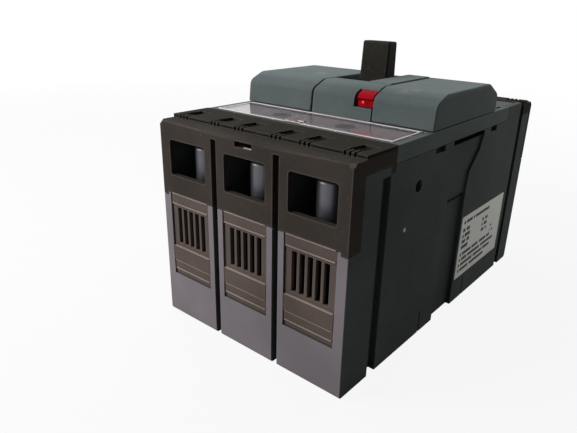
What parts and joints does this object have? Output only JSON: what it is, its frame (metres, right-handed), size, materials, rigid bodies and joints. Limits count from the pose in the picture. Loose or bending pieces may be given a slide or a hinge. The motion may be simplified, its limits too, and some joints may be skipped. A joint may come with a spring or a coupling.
{
  "type": "moulded case circuit breaker",
  "caption": "Box-shaped moulded case circuit breaker on its back, with a toggle in a raised nose, red trip button, clear setting lid, slotted end grilles and cable windows.",
  "frame": {"origin": "centre of the mounting back, on the panel's plane", "axes": "+X across the poles, +Y from the load end to the line end, +Z out of the panel towards the toggle"},
  "size_m": [0.105, 0.18, 0.1307],
  "materials": {
    "base_moulding": "satin moulded thermoset, near black green-grey",
    "cover_moulding": "satin moulded plastic, mid grey",
    "end_cover_moulding": "satin moulded plastic, dark brown-grey",
    "grille_moulding": "satin moulded plastic, blue-grey",
    "toggle_moulding": "satin moulded plastic, black",
    "clear_lid": "clear moulded plastic",
    "dial_moulding": "pale grey moulded plastic",
    "button_red": "red moulded plastic",
    "copper": "plain copper",
    "zinc_steel": "zinc plated steel",
    "spring_steel": "drawn spring wire",
    "splitter_steel": "plain steel plates in a dark fibre back",
    "bimetal_strip": "rolled bimetal"
  },
  "bodies": {
    "case": {"base_housing": "base_moulding", "trip_unit_panel": "base_moulding", "main_cover": "cover_moulding", "accessory_cover_left": "cover_moulding", "accessory_cover_right": "cover_moulding", "terminal_cover_load": "end_cover_moulding", "terminal_cover_line": "end_cover_moulding", "vent_grille_load_1": "grille_moulding", "vent_grille_load_2": "grille_moulding", "vent_grille_load_3": "grille_moulding", "vent_grille_line_1": "grille_moulding", "vent_grille_line_2": "grille_moulding", "vent_grille_line_3": "grille_moulding", "load_bar_1": "copper", "load_bar_2": "copper", "load_bar_3": "copper", "line_bar_1": "copper", "line_bar_2": "copper", "line_bar_3": "copper", "terminal_screw_load_1": "zinc_steel", "terminal_screw_load_2": "zinc_steel", "terminal_screw_load_3": "zinc_steel", "terminal_screw_line_1": "zinc_steel", "terminal_screw_line_2": "zinc_steel", "terminal_screw_line_3": "zinc_steel", "mechanism_frame": "zinc_steel", "handle_pivot_pin": "zinc_steel", "trip_button_spring": "spring_steel", "arc_chute_load_1": "splitter_steel", "arc_chute_load_2": "splitter_steel", "arc_chute_load_3": "splitter_steel", "arc_chute_line_1": "splitter_steel", "arc_chute_line_2": "splitter_steel", "arc_chute_line_3": "splitter_steel", "bimetal_1": "bimetal_strip", "bimetal_2": "bimetal_strip", "bimetal_3": "bimetal_strip"},
    "toggle": {"toggle_handle": "toggle_moulding", "handle_shroud": "toggle_moulding", "handle_yoke": "zinc_steel", "main_spring_left": "spring_steel", "main_spring_right": "spring_steel"},
    "rotor": {"crossbar": "base_moulding", "contact_blade_1": "copper", "contact_blade_2": "copper", "contact_blade_3": "copper"},
    "trip_button": {"trip_button": "button_red"},
    "trip_bar": {"trip_bar": "toggle_moulding"},
    "clear_lid": {"clear_cover": "clear_lid"},
    "current_dial": {"current_dial": "dial_moulding"},
    "time_dial": {"time_dial": "dial_moulding"}
  },
  "joints": [
    {"name": "toggle_pivot", "type": "hinge", "parent": "case", "child": "toggle", "pos_m": [0, 0.005, 0.062], "axis": [-1, 0, 0], "range_deg": [-17, 14]},
    {"name": "crossbar_turn", "type": "hinge", "parent": "case", "child": "rotor", "pos_m": [0, 0, 0.042], "axis": [1, 0, 0], "range_deg": [-20.5, 17]},
    {"name": "trip_button_push", "type": "slide", "parent": "case", "child": "trip_button", "axis": [0, 0, -1], "range_m": [0, 0.002], "stiffness_N_per_m": 100, "springref_m": -0.002, "deforming": ["trip_button_spring"]},
    {"name": "trip_bar_turn", "type": "hinge", "parent": "case", "child": "trip_bar", "pos_m": [0, -0.047, 0.084], "axis": [-1, 0, 0], "range_deg": [0, 7]},
    {"name": "clear_cover_hinge", "type": "hinge", "parent": "case", "child": "clear_lid", "pos_m": [0, -0.035, 0.0984], "axis": [-1, 0, 0], "range_deg": [0, 90]},
    {"name": "current_dial_turn", "type": "hinge", "parent": "case", "child": "current_dial", "pos_m": [-0.018, -0.046, 0.0964], "axis": [0, 0, 1], "range_deg": [-135, 135]},
    {"name": "time_dial_turn", "type": "hinge", "parent": "case", "child": "time_dial", "pos_m": [0.018, -0.046, 0.0964], "axis": [0, 0, 1], "range_deg": [-135, 135]}
  ],
  "couplings": [
    {"joint": "crossbar_turn", "follows": "toggle_pivot", "ratio": 1.2},
    {"joint": "trip_bar_turn", "follows": "trip_button_push", "rad_per_m": 52}
  ]
}
